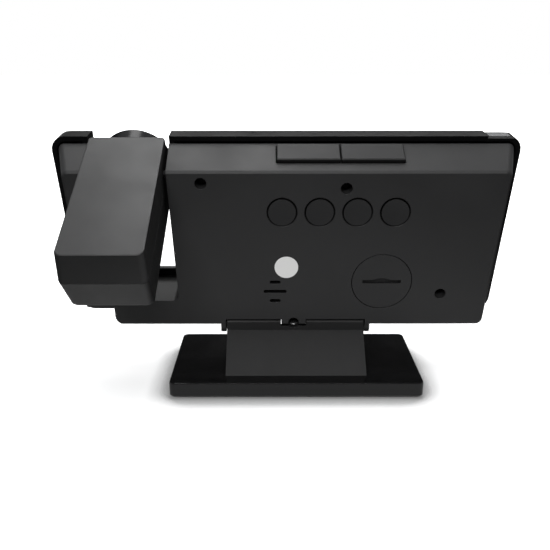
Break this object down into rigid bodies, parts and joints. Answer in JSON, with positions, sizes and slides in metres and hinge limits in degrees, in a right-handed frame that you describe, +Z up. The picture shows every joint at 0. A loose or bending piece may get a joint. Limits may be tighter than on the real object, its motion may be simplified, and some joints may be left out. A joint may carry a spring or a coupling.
{
  "type": "projection alarm clock",
  "caption": "Slim mirror-fronted digital alarm clock on a tilting stand, with round rear keys, long top keys, a coin-cell hatch and a swing-out projector arm with a focus ring.",
  "frame": {"origin": "centre of the base's underside, on the surface that the clock stands on", "axes": "+Z up, the display faces -Y, +X towards the projector arm (to the right for someone who looks at the display)"},
  "size_m": [0.1965, 0.0863, 0.1095],
  "materials": {
    "gloss_black": "polished black plastic",
    "matte_black": "finely textured matte black plastic",
    "key_black": "smooth satin black plastic",
    "rubber": "matte anti-slip rubber",
    "mirror_lens": "half-silvered mirror acrylic",
    "white_plastic": "white diffusing plastic",
    "circuit_board": "green solder mask",
    "grey_window": "smoked translucent plastic",
    "steel": "zinc-plated steel",
    "lens_glass": "clear moulded lens",
    "slide_film": "dark display slide"
  },
  "bodies": {
    "stand": {"base_plate": "gloss_black", "base_pad": "rubber", "stand_neck": "matte_black", "neck_screws": "steel"},
    "case": {"rear_housing": "matte_black", "front_bezel": "gloss_black", "display_lens": "mirror_lens", "digit_panel": "white_plastic", "main_board": "circuit_board", "board_screws": "steel", "sensor_window": "grey_window", "rear_screws": "steel", "hinge_pins": "steel", "key_board": "circuit_board", "key_switches": "steel", "top_key_board": "circuit_board", "top_key_switches": "steel", "speaker": "matte_black", "battery_contacts": "steel", "power_jack": "matte_black"},
    "mode_button": {"mode_key": "key_black"},
    "up_button": {"up_key": "key_black"},
    "down_button": {"down_key": "key_black"},
    "alarm_button": {"alarm_key": "key_black"},
    "projection_button": {"projection_key": "key_black"},
    "snooze_button": {"snooze_key": "key_black"},
    "cell": {"coin_cell": "steel"},
    "hatch": {"battery_cover": "matte_black"},
    "arm": {"arm_back_shell": "matte_black", "arm_front_shell": "matte_black", "arm_screws": "steel", "pivot_pins": "steel", "lens_barrel": "matte_black", "projector_board": "circuit_board", "projector_lamp": "white_plastic", "condenser_lens": "lens_glass", "image_slide": "slide_film"},
    "ring": {"focus_ring": "gloss_black"},
    "focus_lens": {"lens_cell": "matte_black", "projection_lens": "lens_glass"}
  },
  "joints": [
    {"name": "tilt", "type": "hinge", "parent": "stand", "child": "case", "pos_m": [0, -0.00054, 0.0239], "axis": [1, 0, 0], "range_deg": [-5, 15]},
    {"name": "arm_swing", "type": "hinge", "parent": "case", "child": "arm", "pos_m": [0.0701, 0.0101, 0.09319], "axis": [1, 0, 0], "range_deg": [-69.4, 110.6]},
    {"name": "focus_turn", "type": "hinge", "parent": "arm", "child": "ring", "pos_m": [0.0686, -0.00657, 0.09385], "axis": [0, -0.8746, 0.4848], "range_deg": [-120, 120]},
    {"name": "focus_slide", "type": "slide", "parent": "arm", "child": "focus_lens", "axis": [0, -0.8746, 0.4848], "range_m": [-0.001, 0.001]},
    {"name": "mode_press", "type": "slide", "parent": "case", "child": "mode_button", "axis": [0, -0.9893, 0.1461], "range_m": [0, 0.0008], "stiffness_N_per_m": 900},
    {"name": "up_press", "type": "slide", "parent": "case", "child": "up_button", "axis": [0, -0.9893, 0.1461], "range_m": [0, 0.0008], "stiffness_N_per_m": 900},
    {"name": "down_press", "type": "slide", "parent": "case", "child": "down_button", "axis": [0, -0.9893, 0.1461], "range_m": [0, 0.0008], "stiffness_N_per_m": 900},
    {"name": "alarm_press", "type": "slide", "parent": "case", "child": "alarm_button", "axis": [0, -0.9893, 0.1461], "range_m": [0, 0.0008], "stiffness_N_per_m": 900},
    {"name": "projection_press", "type": "slide", "parent": "case", "child": "projection_button", "axis": [0, -0.5363, -0.844], "range_m": [0, 0.0008], "stiffness_N_per_m": 1200},
    {"name": "snooze_press", "type": "slide", "parent": "case", "child": "snooze_button", "axis": [0, -0.5363, -0.844], "range_m": [0, 0.0008], "stiffness_N_per_m": 1200},
    {"name": "cell_out", "type": "slide", "parent": "case", "child": "cell", "axis": [0, 0.9893, -0.1461], "range_m": [0, 0.012]},
    {"name": "hatch_turn", "type": "hinge", "parent": "cell", "child": "hatch", "pos_m": [-0.037, 0.00381, 0.04651], "axis": [0, 0.9893, -0.1461], "range_deg": [0, 30]}
  ],
  "couplings": [
    {"joint": "focus_turn", "follows": "focus_slide", "rad_per_m": 2094.4}
  ]
}
